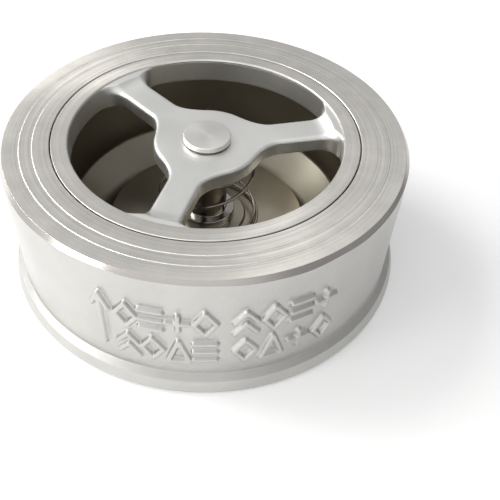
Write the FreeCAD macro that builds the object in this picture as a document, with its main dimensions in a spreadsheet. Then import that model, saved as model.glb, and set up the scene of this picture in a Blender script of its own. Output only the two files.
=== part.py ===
"""Wafer lift check valve, DN 40, as an assembly of separate solids.

Millimetres. The origin is the centre of the inlet gasket face, +Z points along the flow towards the outlet
face, and -Y is the side that carries the raised flow arrow. The disc is modelled closed on its seat.
"""
import FreeCAD, Part
import math
import os
import re
import Sketcher

Vector = FreeCAD.Vector
Z_AXIS = Vector(0, 0, 1)

# Driving dimensions in millimetres and degrees: alias, value, meaning.
SIZES = [
    ("face_to_face", 31.5, "height between the two gasket faces"),
    ("outlet_face_diameter", 83.6, "turned outlet face"),
    ("inlet_bore", 40.0, "inlet bore"),
    ("band_width", 0.75, "turned band beside the outlet face, outwards from its edge"),
    ("band_drop", 0.93, "how far the band lies below the outlet face"),
    ("waist_step", 0.1, "crease above the foot, outwards from the outlet face's edge"),
    ("waist_height", 4.4, "height of that crease"),
    ("bead_step", 1.3, "bead below the crease, outwards from it"),
    ("bead_drop", 0.9, "how far the bead lies below the crease"),
    ("foot_step", 0.8, "widest part of the cast foot, outwards from the bead"),
    ("foot_height", 0.9, "height of the foot's widest edge"),
    ("foot_chamfer", 0.7, "turned edge of the inlet face"),
    ("gasket_land", 9.45, "outlet face from its edge in to the guide spider"),
    ("groove_inset_outer", 3.2, "outer gasket groove, in from the outlet face's edge"),
    ("groove_inset_inner", 5.8, "inner gasket groove, in from the outlet face's edge"),
    ("groove_width", 0.5, "width of a gasket groove"),
    ("groove_depth", 0.25, "depth of a gasket groove"),
    ("chamber_ledge", 1.85, "ledge that carries the spider, from its outside in to the flow chamber"),
    ("bowl_height", 7.6, "height of the chamber's conical bowl above its floor"),
    ("bowl_width", 7.2, "how far that bowl reaches in from the chamber's wall"),
    ("seat_height", 5.2, "height of the seat face above the inlet face"),
    ("seat_rise", 1.0, "how far the seat stands above the chamber's floor"),
    ("seat_overlap", 2.2, "how far the disc reaches past the inlet bore"),
    ("seat_margin", 0.3, "how far the seat reaches past the disc"),
    ("spider_clearance", 0.12, "radial gap between spider and body"),
    ("spider_depth", 5.6, "depth of the spider's ring and arms below the outlet face"),
    ("edge_break", 0.3, "chamfer on turned edges"),
    ("ring_wall", 3.55, "radial width of the spider's ring"),
    ("arm_recess", 1.8, "how far arms and hub lie below the outlet face"),
    ("arm_width", 6.8, "width of each arm"),
    ("arm_azimuth", 16.0, "direction of the first arm"),
    ("hub_wall", 1.2, "how far the hub reaches past the boss under it"),
    ("hub_boss_wall", 0.45, "how far that boss reaches past the spring it seats"),
    ("hub_boss_drop", 0.7, "how far that boss reaches below the arms"),
    ("hub_blend", 4.0, "fillet between hub and arm"),
    ("rim_blend", 4.5, "fillet between arm and ring"),
    ("lock_wire", 1.0, "wire of the spider's lock ring"),
    ("lock_depth", 3.0, "depth of the lock ring below the outlet face"),
    ("lock_clearance", 0.05, "gap round the lock ring in its grooves"),
    ("stem_diameter", 8.8, "guided length of the stem"),
    ("stem_clearance", 0.08, "radial running clearance in the hub"),
    ("head_step", 0.7, "button head of the stem, outwards from the guided length"),
    ("head_recess", 0.4, "how far the head's top lies below the outlet face"),
    ("head_gap", 0.3, "gap under the head when the valve is closed"),
    ("collar_step", 1.9, "stem collar that clamps the disc, outwards from the guided length"),
    ("collar_height", 2.0, "height of that collar"),
    ("thread_diameter", 6.0, "threaded end of the stem"),
    ("thread_chamfer", 0.6, "lead of the threaded end"),
    ("thread_past_nut", 0.8, "thread that shows past the nut"),
    ("disc_edge", 3.2, "thickness of the disc's edge"),
    ("disc_crown", 0.3, "rise of the disc from its edge to the boss"),
    ("disc_boss_step", 2.4, "raised boss of the disc, outwards from the collar it carries"),
    ("disc_boss_height", 0.7, "height of that boss"),
    ("recess_margin", 3.0, "room round the washer in the recess under the disc"),
    ("disc_recess_depth", 1.9, "depth of that recess"),
    ("seat_gap", 0.05, "gap between disc and seat when closed"),
    ("thread_clearance", 0.06, "radial gap of disc, washers and nut on the thread"),
    ("washer_width", 3.0, "plain washer, outwards from the thread"),
    ("washer_thickness", 0.8, "plain washer"),
    ("lock_washer_width", 2.5, "spring lock washer, outwards from the thread"),
    ("lock_washer_thickness", 1.2, "spring lock washer"),
    ("lock_washer_split", 0.8, "width of the lock washer's split"),
    ("nut_wall", 2.0, "thin nut from the thread to its flats"),
    ("nut_thickness", 3.2, "thin nut"),
    ("spring_wire", 0.7, "wire of the spring"),
    ("spring_room_top", 4.65, "room between the stem and the spring's upper end"),
    ("spring_room_bottom", 2.55, "room between the disc's boss and the spring's lower end"),
    ("spring_turns", 3.0, "turns of the spring"),
    ("spring_gap", 0.05, "clearance at each end of the spring"),
    ("spring_azimuth", 0.0, "direction of the spring's lower end"),
    ("mark_stroke", 0.9, "stroke width of the raised cast marks"),
    ("mark_relief", 0.6, "how far the marks stand out"),
    ("mark_height", 6.2, "height of one mark"),
    ("mark_width", 4.2, "width of one mark"),
    ("mark_root", 1.5, "how deep a mark's stroke is rooted in the wall"),
    ("mark_row_low", 8.8, "foot of the lower row of marks"),
    ("mark_row_high", 17.3, "foot of the upper row of marks"),
    ("arrow_foot", 9.7, "height where the flow arrow starts"),
    ("arrow_length", 14.3, "length of the flow arrow"),
    ("arrow_head", 3.6, "height of the arrow's head"),
    ("arrow_azimuth", -112.8, "direction of the flow arrow"),
]
VALUE = {alias: value for alias, value, _ in SIZES}

ARM_COUNT = 3
HEXAGON = 6
SPRING_SEGMENT = 0.25      # turns of the spring in each face of its surface
MARK_AZIMUTHS = (-105.6, -99.2, -92.4, -85.6, -75.4, -68.2, -60.8, -53.4)

# Strokes of the cast marks in a unit square: plain geometric signs that spell nothing.
TRIANGLE = (((0, 0), (1, 0)), ((1, 0), (0.5, 1)), ((0.5, 1), (0, 0)))
DIAMOND = (((0.5, 0), (1, 0.5)), ((1, 0.5), (0.5, 1)), ((0.5, 1), (0, 0.5)), ((0, 0.5), (0.5, 0)))
CHEVRONS = (((0, 0), (0.5, 0.45)), ((0.5, 0.45), (1, 0)), ((0, 0.5), (0.5, 0.95)), ((0.5, 0.95), (1, 0.5)))
CROSS = (((0.5, 0.15), (0.5, 0.85)), ((0, 0.5), (1, 0.5)))
BARS = (((0, 0.1), (1, 0.1)), ((0, 0.5), (1, 0.5)), ((0, 0.9), (1, 0.9)))
MARK_ROWS = {
    "mark_row_high": (DIAMOND, BARS, CROSS, DIAMOND, CHEVRONS, DIAMOND, BARS, CROSS),
    "mark_row_low": (CHEVRONS, DIAMOND, TRIANGLE, BARS, DIAMOND, TRIANGLE, CROSS, DIAMOND),
}

# Radii and heights that follow from them, each built on the ones before: name, expression.
LEVELS = [
    ("face_radius", "outlet_face_diameter / 2"),
    ("band_radius", "face_radius + band_width"),
    ("waist_radius", "face_radius + waist_step"),
    ("bead_radius", "waist_radius + bead_step"),
    ("foot_radius", "bead_radius + foot_step"),
    ("spider_radius", "face_radius - gasket_land"),
    ("counterbore_radius", "spider_radius + spider_clearance"),
    ("chamber_radius", "spider_radius - chamber_ledge"),
    ("window_radius", "spider_radius - ring_wall"),
    ("inlet_radius", "inlet_bore / 2"),
    ("disc_radius", "inlet_radius + seat_overlap"),
    ("seat_radius", "disc_radius + seat_margin"),
    ("stem_radius", "stem_diameter / 2"),
    ("head_radius", "stem_radius + head_step"),
    ("collar_radius", "stem_radius + collar_step"),
    ("disc_boss_radius", "collar_radius + disc_boss_step"),
    ("thread_radius", "thread_diameter / 2"),
    ("washer_radius", "thread_radius + washer_width"),
    ("lock_washer_radius", "thread_radius + lock_washer_width"),
    ("recess_radius", "washer_radius + recess_margin"),
    ("spring_narrow", "stem_radius + spring_room_top + spring_wire / 2"),
    ("spring_wide", "disc_boss_radius + spring_room_bottom + spring_wire / 2"),
    ("hub_boss_radius", "spring_narrow + spring_wire / 2 + hub_boss_wall"),
    ("hub_radius", "hub_boss_radius + hub_wall"),
    ("chamber_floor", "seat_height - seat_rise"),
    ("bowl_top", "chamber_floor + bowl_height"),
    ("bowl_foot", "max(seat_radius + edge_break; chamber_radius - bowl_width)"),
    ("band_foot", "face_to_face - band_drop"),
    ("spider_base", "face_to_face - spider_depth"),
    ("arm_top", "face_to_face - arm_recess"),
    ("spring_ceiling", "spider_base - hub_boss_drop"),
    ("disc_base", "seat_height + seat_gap"),
    ("disc_edge_top", "disc_base + disc_edge"),
    ("disc_crown_top", "disc_edge_top + disc_crown"),
    ("boss_top", "disc_crown_top + disc_boss_height"),
    ("collar_top", "boss_top + collar_height"),
    ("recess_roof", "disc_base + disc_recess_depth"),
    ("washer_base", "recess_roof - washer_thickness"),
    ("lock_washer_base", "washer_base - lock_washer_thickness"),
    ("nut_base", "lock_washer_base - nut_thickness"),
    ("head_top", "face_to_face - head_recess"),
    ("head_base", "arm_top + head_gap"),
    ("thread_hole", "thread_radius + thread_clearance"),
    ("spring_low", "disc_crown_top + spring_gap + spring_wire / 2"),
    ("spring_length", "spring_ceiling - spring_gap - spring_wire / 2 - spring_low"),
]

OWNER = {**{alias: "Sizes." for alias in VALUE}, **{name: "Levels." for name, _ in LEVELS}}

doc = FreeCAD.newDocument("wafer_check_valve")
sheet = doc.addObject("Spreadsheet::Sheet", "Sizes")
for row, (alias, value, meaning) in enumerate(SIZES, start=1):
    sheet.set(f"A{row}", str(value))
    sheet.set(f"B{row}", meaning)
    sheet.setAlias(f"A{row}", alias)
doc.recompute()


def bound(text):
    """Expression text whose names are looked up in the sheet or among the levels."""
    return re.sub(r"[a-z]+_[a-z_]+", lambda word: OWNER[word.group()] + word.group(), text)


levels = doc.addObject("App::VarSet", "Levels")
for name, text in LEVELS:
    levels.addProperty("App::PropertyFloat", name)
    levels.setExpression(name, bound(text))
doc.recompute()


def new_body(label):
    body = doc.addObject("PartDesign::Body", label)
    body.Label = label
    return body


def new_sketch(body, name, role, height="0"):
    """A sketch on one of the body's origin planes, raised along the plane's normal by height."""
    plane = next(feature for feature in body.Origin.OriginFeatures if feature.Role == role)
    sketch = body.newObject("Sketcher::SketchObject", name)
    sketch.AttachmentSupport = (plane, "")
    sketch.MapMode = "FlatFace"
    if height != "0":
        sketch.setExpression(".AttachmentOffset.Base.z", bound(height))
    return sketch


def draw_outline(sketch, corners):
    """A closed outline of straight lines through corners, each a pair of expressions, "0" on an axis."""
    count = len(corners)
    for i in range(count):
        turn, next_turn = (2 * math.pi * k / count for k in (i, (i + 1) % count))
        start = Vector(60 + 30 * math.cos(turn), 60 + 30 * math.sin(turn), 0)
        end = Vector(60 + 30 * math.cos(next_turn), 60 + 30 * math.sin(next_turn), 0)
        sketch.addGeometry(Part.LineSegment(start, end))
    for i in range(count):
        sketch.addConstraint(Sketcher.Constraint("Coincident", i, 2, (i + 1) % count, 1))
    for i, corner in enumerate(corners):
        for kind, axis, text in zip(("DistanceX", "DistanceY"), (-2, -1), corner):
            if text == "0":
                sketch.addConstraint(Sketcher.Constraint("PointOnObject", i, 1, axis))
                continue
            index = sketch.addConstraint(Sketcher.Constraint(kind, -1, 1, i, 1, 60.0))
            sketch.setExpression(f"Constraints[{index}]", bound(text))


def draw_circle(sketch, radius):
    sketch.addGeometry(Part.Circle(Vector(0, 0, 0), Z_AXIS, 10))
    sketch.addConstraint(Sketcher.Constraint("Coincident", 0, 3, -1, 1))
    index = sketch.addConstraint(Sketcher.Constraint("Radius", 0, 10))
    sketch.setExpression(f"Constraints[{index}]", bound(radius))


def turned(body, name, corners):
    """A solid of revolution about Z from an outline of radius and height pairs."""
    sketch = new_sketch(body, name + "_outline", "XZ_Plane")
    draw_outline(sketch, corners)
    feature = body.newObject("PartDesign::Revolution", name)
    feature.Profile = sketch
    feature.ReferenceAxis = (sketch, ["V_Axis"])
    feature.Angle = 360
    doc.recompute()
    return feature


def pad(body, name, sketch, length):
    feature = body.newObject("PartDesign::Pad", name)
    feature.Profile = sketch
    feature.setExpression("Length", bound(length))
    doc.recompute()
    return feature


def pocket(body, name, sketch, length):
    """A pocket upwards from its sketch, refused if it removes nothing."""
    before = body.Shape.Volume
    feature = body.newObject("PartDesign::Pocket", name)
    feature.Profile = sketch
    feature.setExpression("Length", bound(length))
    feature.Reversed = True
    doc.recompute()
    if not body.Shape.Volume < before:
        raise RuntimeError(f"{name} removes nothing from {body.Label}")
    return feature


def fillet(body, name, edges, radius):
    base = body.Tip
    feature = body.newObject("PartDesign::Fillet", name)
    feature.Base = (base, edges)
    feature.setExpression("Radius", bound(radius))
    doc.recompute()
    return feature


def circle_edges(shape, radius, height):
    """Names of the shape's full circles about Z of this radius at this height."""
    names = []
    for i, edge in enumerate(shape.Edges, start=1):
        curve = edge.Curve
        if not isinstance(curve, Part.Circle):
            continue
        if abs(curve.Radius - radius) < 0.01 and abs(curve.Center.z - height) < 0.01:
            names.append(f"Edge{i}")
    return names


def upright_edges(shape, low_radius, high_radius):
    """Names of the shape's edges along Z whose distance from the axis lies between two radii."""
    names = []
    for i, edge in enumerate(shape.Edges, start=1):
        start, end = edge.Vertexes[0].Point, edge.Vertexes[-1].Point
        upright = math.hypot(start.x - end.x, start.y - end.y) < 0.001 and abs(start.z - end.z) > 0.5
        if upright and low_radius < math.hypot(start.x, start.y) < high_radius:
            names.append(f"Edge{i}")
    return names


def groove_corners(inset):
    """Corners of one V groove in the outlet face, from its outside in."""
    middle = f"face_radius - {inset}"
    return [
        (f"{middle} + groove_width / 2", "face_to_face"),
        (middle, "face_to_face - groove_depth"),
        (f"{middle} - groove_width / 2", "face_to_face"),
    ]


def lock_groove_corners(wall, outwards):
    """Corners of the lock ring's square groove in the body's or the spider's wall, from the top down."""
    depth = "(lock_wire / 2 + lock_clearance)"
    middle = "(spider_radius + spider_clearance / 2)"
    bottom = f"{middle} + {depth}" if outwards else f"{middle} - {depth}"
    high = f"face_to_face - lock_depth + {depth}"
    low = f"face_to_face - lock_depth - {depth}"
    return [(wall, high), (bottom, high), (bottom, low), (wall, low)]


def body_shell():
    """The cast ring with its foot, seat, chamber and the counterbore for the spider."""
    body = new_body("body_shell")
    turned(body, "casting", [
        ("inlet_radius", "0"),
        ("foot_radius - foot_chamfer", "0"),
        ("foot_radius", "foot_height"),
        ("bead_radius", "waist_height - bead_drop"),
        ("waist_radius", "waist_height"),
        ("band_radius", "band_foot"),
        ("face_radius", "face_to_face"),
        *groove_corners("groove_inset_outer"),
        *groove_corners("groove_inset_inner"),
        ("counterbore_radius + edge_break", "face_to_face"),
        ("counterbore_radius", "face_to_face - edge_break"),
        *lock_groove_corners("counterbore_radius", outwards=True),
        ("counterbore_radius", "spider_base"),
        ("chamber_radius", "spider_base"),
        ("chamber_radius", "bowl_top"),
        ("bowl_foot", "chamber_floor"),
        ("seat_radius", "chamber_floor"),
        ("seat_radius", "seat_height"),
        ("inlet_radius", "seat_height"),
    ])
    return body


def side_slope():
    """The straight cast side: its radius at the inlet face's level and its gain per millimetre of height."""
    low, high = levels.waist_radius, levels.band_radius
    gain = (high - low) / (levels.band_foot - VALUE["waist_height"])
    return low - gain * VALUE["waist_height"], gain


def stroke(name, azimuth, start, end):
    """A bar on the cast side between two points (distance along the side, height above the inlet face)."""
    length = math.hypot(end[0] - start[0], end[1] - start[1])
    tilt = math.degrees(math.atan2(end[1] - start[1], end[0] - start[0]))
    middle = ((start[0] + end[0]) / 2, (start[1] + end[1]) / 2)
    side = SIDE_START + SIDE_GAIN * middle[1]
    bar = doc.addObject("Part::Box", name)
    bar.Length = length + VALUE["mark_stroke"]
    bar.setExpression("Width", bound("mark_stroke"))
    bar.setExpression("Height", bound("mark_root + mark_relief"))
    turn = azimuth + math.degrees(middle[0] / side)
    corner = Vector(-bar.Length.Value / 2, -VALUE["mark_stroke"] / 2, 0)
    centred = FreeCAD.Placement(corner, FreeCAD.Rotation())
    tilted = FreeCAD.Placement(Vector(0, 0, 0), FreeCAD.Rotation(Z_AXIS, tilt))
    outwards = FreeCAD.Rotation(Vector(0, 1, 0), Z_AXIS, Vector(1, 0, 0), "XYZ")
    on_side = FreeCAD.Placement(Vector(side - VALUE["mark_root"], 0, middle[1]), outwards)
    about_axis = FreeCAD.Placement(Vector(0, 0, 0), FreeCAD.Rotation(Z_AXIS, turn))
    bar.Placement = about_axis.multiply(on_side).multiply(tilted).multiply(centred)
    return bar


def flow_arrow():
    """Three strokes of the arrow that points along the flow."""
    foot, tip = VALUE["arrow_foot"], VALUE["arrow_foot"] + VALUE["arrow_length"]
    barb_foot = tip - VALUE["arrow_head"]
    spread = VALUE["arrow_head"] / 2
    azimuth = VALUE["arrow_azimuth"]
    return [
        stroke("arrow_shaft", azimuth, (0, foot), (0, tip)),
        stroke("arrow_barb_left", azimuth, (-spread, barb_foot), (0, tip)),
        stroke("arrow_barb_right", azimuth, (spread, barb_foot), (0, tip)),
    ]


def cast_marks():
    """Two rows of raised signs beside the arrow."""
    strokes = []
    wide, high = VALUE["mark_width"], VALUE["mark_height"]
    for row_name, signs in MARK_ROWS.items():
        foot = VALUE[row_name]
        for place, (azimuth, sign) in enumerate(zip(MARK_AZIMUTHS, signs)):
            for part, (start, end) in enumerate(sign):
                ends = [((x - 0.5) * wide, foot + y * high) for x, y in (start, end)]
                strokes.append(stroke(f"{row_name}_{place}_{part}", azimuth, *ends))
    return strokes


def valve_body():
    """The casting with its raised flow arrow and marks as one solid."""
    whole = doc.addObject("Part::MultiFuse", "valve_body")
    whole.Shapes = [body_shell(), *flow_arrow(), *cast_marks()]
    return whole


def guide_spider():
    """Ring, three arms and hub that guide the stem, let into the outlet side."""
    body = new_body("guide_spider")
    turned(body, "ring", [
        ("window_radius", "spider_base"),
        ("spider_radius", "spider_base"),
        *reversed(lock_groove_corners("spider_radius", outwards=False)),
        ("spider_radius", "face_to_face - edge_break"),
        ("spider_radius - edge_break", "face_to_face"),
        ("window_radius + edge_break", "face_to_face"),
        ("window_radius", "face_to_face - edge_break"),
    ])
    arm_sketch = new_sketch(body, "arm_outline", "XY_Plane", "spider_base")
    draw_outline(arm_sketch, [
        ("0", "-arm_width / 2"),
        ("window_radius + edge_break", "-arm_width / 2"),
        ("window_radius + edge_break", "arm_width / 2"),
        ("0", "arm_width / 2"),
    ])
    arm = pad(body, "arm", arm_sketch, "spider_depth - arm_recess")
    arms = body.newObject("PartDesign::PolarPattern", "arms")
    arms.Originals = [arm]
    arms.Axis = (arm_sketch, ["N_Axis"])
    arms.Angle = 360
    arms.Occurrences = ARM_COUNT
    body.Tip = arms
    doc.recompute()
    hub_sketch = new_sketch(body, "hub_outline", "XY_Plane", "spider_base")
    draw_circle(hub_sketch, "hub_radius")
    pad(body, "hub", hub_sketch, "spider_depth - arm_recess")
    hub, window = levels.hub_radius, levels.window_radius
    hub_corners = upright_edges(body.Shape, VALUE["arm_width"] / 2, hub + VALUE["edge_break"])
    fillet(body, "hub_blends", hub_corners, "hub_blend")
    rim_corners = upright_edges(body.Shape, window - VALUE["edge_break"], window + VALUE["edge_break"] / 2)
    fillet(body, "rim_blends", rim_corners, "rim_blend")
    boss_sketch = new_sketch(body, "boss_outline", "XY_Plane", "spring_ceiling")
    draw_circle(boss_sketch, "hub_boss_radius")
    pad(body, "boss", boss_sketch, "hub_boss_drop + edge_break")
    bore_sketch = new_sketch(body, "bore_outline", "XY_Plane", "spring_ceiling")
    draw_circle(bore_sketch, "stem_radius + stem_clearance")
    pocket(body, "bore", bore_sketch, "spider_depth + hub_boss_drop")
    body.setExpression(".Placement.Rotation.Angle", bound("arm_azimuth"))
    return body


def lock_ring():
    """Wire ring that holds the spider in the body, shut in the two facing grooves."""
    ring = doc.addObject("Part::Torus", "spider_lock_ring")
    ring.setExpression("Radius1", bound("spider_radius + spider_clearance / 2"))
    ring.setExpression("Radius2", bound("lock_wire / 2"))
    ring.setExpression(".Placement.Base.z", bound("face_to_face - lock_depth"))
    return ring


def stem():
    """Headed pin: button head, guided length, collar and threaded end."""
    body = new_body("stem")
    turned(body, "pin", [
        ("0", "nut_base - thread_past_nut"),
        ("thread_radius - thread_chamfer", "nut_base - thread_past_nut"),
        ("thread_radius", "nut_base - thread_past_nut + thread_chamfer"),
        ("thread_radius", "boss_top"),
        ("collar_radius", "boss_top"),
        ("collar_radius", "collar_top - edge_break"),
        ("collar_radius - edge_break", "collar_top"),
        ("stem_radius", "collar_top"),
        ("stem_radius", "head_base"),
        ("head_radius", "head_base"),
        ("head_radius", "head_top - edge_break"),
        ("head_radius - edge_break", "head_top"),
        ("0", "head_top"),
    ])
    return body


def disc():
    """The closing disc, crowned on top, with a boss above and a nut recess below."""
    body = new_body("disc")
    turned(body, "plate", [
        ("thread_hole", "recess_roof"),
        ("recess_radius", "recess_roof"),
        ("recess_radius", "disc_base"),
        ("disc_radius - edge_break", "disc_base"),
        ("disc_radius", "disc_base + edge_break"),
        ("disc_radius", "disc_edge_top - edge_break"),
        ("disc_radius - edge_break", "disc_edge_top"),
        ("disc_boss_radius", "disc_crown_top"),
        ("disc_boss_radius", "boss_top - edge_break"),
        ("disc_boss_radius - edge_break", "boss_top"),
        ("thread_hole", "boss_top"),
    ])
    return body


def washer(label, radius, base, thickness):
    """A flat ring on the thread."""
    body = new_body(label)
    turned(body, label + "_ring", [
        ("thread_hole", base),
        (radius, base),
        (radius, f"{base} + {thickness}"),
        ("thread_hole", f"{base} + {thickness}"),
    ])
    return body


def lock_washer():
    """A washer with one cut through its ring."""
    body = washer("lock_washer", "lock_washer_radius", "lock_washer_base", "lock_washer_thickness")
    split_sketch = new_sketch(body, "split_outline", "XY_Plane", "lock_washer_base")
    draw_outline(split_sketch, [
        ("0", "-lock_washer_split / 2"),
        ("lock_washer_radius + edge_break", "-lock_washer_split / 2"),
        ("lock_washer_radius + edge_break", "lock_washer_split / 2"),
        ("0", "lock_washer_split / 2"),
    ])
    pocket(body, "split", split_sketch, "lock_washer_thickness")
    return body


def thin_nut():
    """Hexagon nut on the threaded end."""
    blank = doc.addObject("Part::Prism", "nut_blank")
    blank.Polygon = HEXAGON
    blank.setExpression("Circumradius", bound("(thread_radius + nut_wall) / cos(30)"))
    blank.setExpression("Height", bound("nut_thickness"))
    hole = doc.addObject("Part::Cylinder", "nut_hole")
    hole.setExpression("Radius", bound("thread_hole"))
    hole.setExpression("Height", bound("nut_thickness"))
    nut = doc.addObject("Part::Cut", "disc_nut")
    nut.Base = blank
    nut.Tool = hole
    nut.setExpression(".Placement.Base.z", bound("nut_base"))
    return nut


def conical_spring():
    """One conical helix of round wire between the disc's crown and the boss under the hub, wide end down."""
    azimuth = VALUE["spring_azimuth"]
    path = doc.addObject("Part::Helix", "spring_path")
    path.Style = "New style"
    path.Radius = levels.spring_wide
    path.Height = levels.spring_length
    path.Pitch = levels.spring_length / VALUE["spring_turns"]
    path.SegmentLength = SPRING_SEGMENT
    path.setExpression("Height", bound("spring_length"))
    path.setExpression("Pitch", bound("spring_length / spring_turns"))
    path.setExpression("Radius", bound("spring_wide"))
    path.setExpression("Angle", bound("-atan((spring_wide - spring_narrow) / spring_length)"))
    path.Placement = FreeCAD.Placement(Vector(0, 0, 0), FreeCAD.Rotation(Z_AXIS, azimuth))
    path.setExpression(".Placement.Base.z", bound("spring_low"))
    section = doc.addObject("Part::Circle", "spring_section")
    section.setExpression("Radius", bound("spring_wire / 2"))
    upright = FreeCAD.Rotation(Z_AXIS, azimuth).multiply(FreeCAD.Rotation(Vector(1, 0, 0), 90))
    section.Placement = FreeCAD.Placement(Vector(0, 0, 0), upright)
    section.setExpression(".Placement.Base.x", bound("spring_wide * cos(spring_azimuth)"))
    section.setExpression(".Placement.Base.y", bound("spring_wide * sin(spring_azimuth)"))
    section.setExpression(".Placement.Base.z", bound("spring_low"))
    spring = doc.addObject("Part::Sweep", "spring")
    spring.Sections = [section]
    spring.Spine = (path, [])
    spring.Solid = True
    spring.Frenet = True
    return spring


SIDE_START, SIDE_GAIN = side_slope()

nodes = {
    "valve_body": valve_body(),
    "guide_spider": guide_spider(),
    "spider_lock_ring": lock_ring(),
    "stem": stem(),
    "disc": disc(),
    "disc_washer": washer("disc_washer", "washer_radius", "washer_base", "washer_thickness"),
    "lock_washer": lock_washer(),
    "disc_nut": thin_nut(),
    "spring": conical_spring(),
}
doc.recompute()

for feature in doc.Objects:
    if "Invalid" in feature.State or "Error" in feature.State:
        raise RuntimeError(f"{feature.Label} did not compute: {feature.State}")

os.makedirs("parts", exist_ok=True)
for label, node in nodes.items():
    node.Label = label
    shape = node.Shape
    if shape.isNull() or not shape.isValid():
        raise RuntimeError(f"{label} has no valid shape")
    print(f"{label:18s} solids {len(shape.Solids)}  volume {shape.Volume:10.1f} mm3  {shape.BoundBox}")
    shape.exportStep(f"parts/{label}.step")
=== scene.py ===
"""Looks of the wafer lift check valve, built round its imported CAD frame.

Lengths are written in millimetres and turned into Blender's metres in one place, by mesh_object().
"""
import math

import bpy
import numpy as np
from mathutils import Matrix, Vector


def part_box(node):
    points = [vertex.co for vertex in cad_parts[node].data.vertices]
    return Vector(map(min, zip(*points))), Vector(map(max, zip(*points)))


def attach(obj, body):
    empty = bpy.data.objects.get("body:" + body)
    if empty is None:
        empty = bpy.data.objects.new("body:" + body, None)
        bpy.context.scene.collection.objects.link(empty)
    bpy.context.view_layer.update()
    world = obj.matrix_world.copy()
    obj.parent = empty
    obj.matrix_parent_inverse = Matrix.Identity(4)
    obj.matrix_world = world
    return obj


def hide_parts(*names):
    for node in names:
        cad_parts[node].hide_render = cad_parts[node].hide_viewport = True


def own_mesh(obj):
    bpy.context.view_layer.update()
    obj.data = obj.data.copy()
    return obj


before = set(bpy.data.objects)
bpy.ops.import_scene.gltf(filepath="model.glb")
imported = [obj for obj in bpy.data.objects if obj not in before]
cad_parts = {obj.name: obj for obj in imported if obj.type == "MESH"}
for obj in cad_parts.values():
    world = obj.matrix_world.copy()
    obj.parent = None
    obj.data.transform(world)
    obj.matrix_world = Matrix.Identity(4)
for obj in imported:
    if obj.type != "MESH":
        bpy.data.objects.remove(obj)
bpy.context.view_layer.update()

MM = 0.001
BODY, CLOSURE = "housing", "disc_assembly"


def node_box(node):
    """Lowest and highest corner of a CAD node, in millimetres."""
    return [np.array(corner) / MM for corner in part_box(node)]


body_high = node_box("valve_body")[1]
spider_low = node_box("guide_spider")[0]
stem_low, stem_high = node_box("stem")
disc_low, disc_high = node_box("disc")
washer_low, washer_high = node_box("disc_washer")
lock_washer_low, lock_washer_high = node_box("lock_washer")
nut_low, nut_high = node_box("disc_nut")

FACE = body_high[2]                       # outlet gasket face
FOOT_RADIUS = body_high[0]

# The casting's section, in step with the CAD part.
INLET_RADIUS = 20.0
OUTLET_FACE_RADIUS = 41.8
BAND_RADIUS, BAND_DROP = 42.55, 0.93
WAIST_RADIUS, WAIST_HEIGHT = 41.9, 4.4
BEAD_RADIUS, BEAD_HEIGHT = 43.2, 3.5
FOOT_HEIGHT, FOOT_CHAMFER = 0.9, 0.7
GROOVE_RADII, GROOVE_WIDTH, GROOVE_DEPTH = (38.6, 36.0), 0.34, 0.05
GROOVE_ROUND, EDGE_ROUND = 0.05, 0.05
COUNTERBORE_RADIUS, EDGE_BREAK = 32.52, 0.14
SPIDER_RADIUS, SPIDER_BASE = 32.35, FACE - 5.6
CHAMBER_RADIUS, CHAMBER_FLOOR = 30.5, 4.2
BOWL_FOOT, BOWL_TOP = 23.3, 11.8
SEAT_RADIUS, SEAT_HEIGHT = 22.5, 5.2


# ---------------------------------------------------------------- mesh tools

def mesh_object(name, points, faces, body, materials, face_slots=None,
                sharp_angle=None, sharp_rows=None):
    """A smooth mesh object from points in millimetres, riding on a body.

    Its sharp edges are found by angle, or run round the given rows of a lathe's columns.
    """
    mesh = bpy.data.meshes.new(name)
    mesh.from_pydata((np.asarray(points, float) * MM).tolist(), [], [list(map(int, f)) for f in faces])
    for material in materials:
        mesh.materials.append(material)
    if face_slots is not None:
        mesh.polygons.foreach_set("material_index", np.asarray(face_slots, np.int32))
    mesh.polygons.foreach_set("use_smooth", np.full(len(mesh.polygons), True))
    mesh.validate()
    mesh.update()
    if sharp_angle is not None:
        mesh.set_sharp_from_angle(angle=math.radians(sharp_angle))
    if sharp_rows is not None:
        rows = len(sharp_rows)
        ends = np.empty(2 * len(mesh.edges), np.int32)
        mesh.edges.foreach_get("vertices", ends)
        row_a, row_b = (ends.reshape(-1, 2) % rows).T
        sharp = mesh.attributes.new("sharp_edge", "BOOLEAN", "EDGE")
        sharp.data.foreach_set("value", (row_a == row_b) & np.asarray(sharp_rows)[row_a])
    piece = bpy.data.objects.new(name, mesh)
    bpy.context.scene.collection.objects.link(piece)
    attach(piece, body)
    return piece


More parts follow.
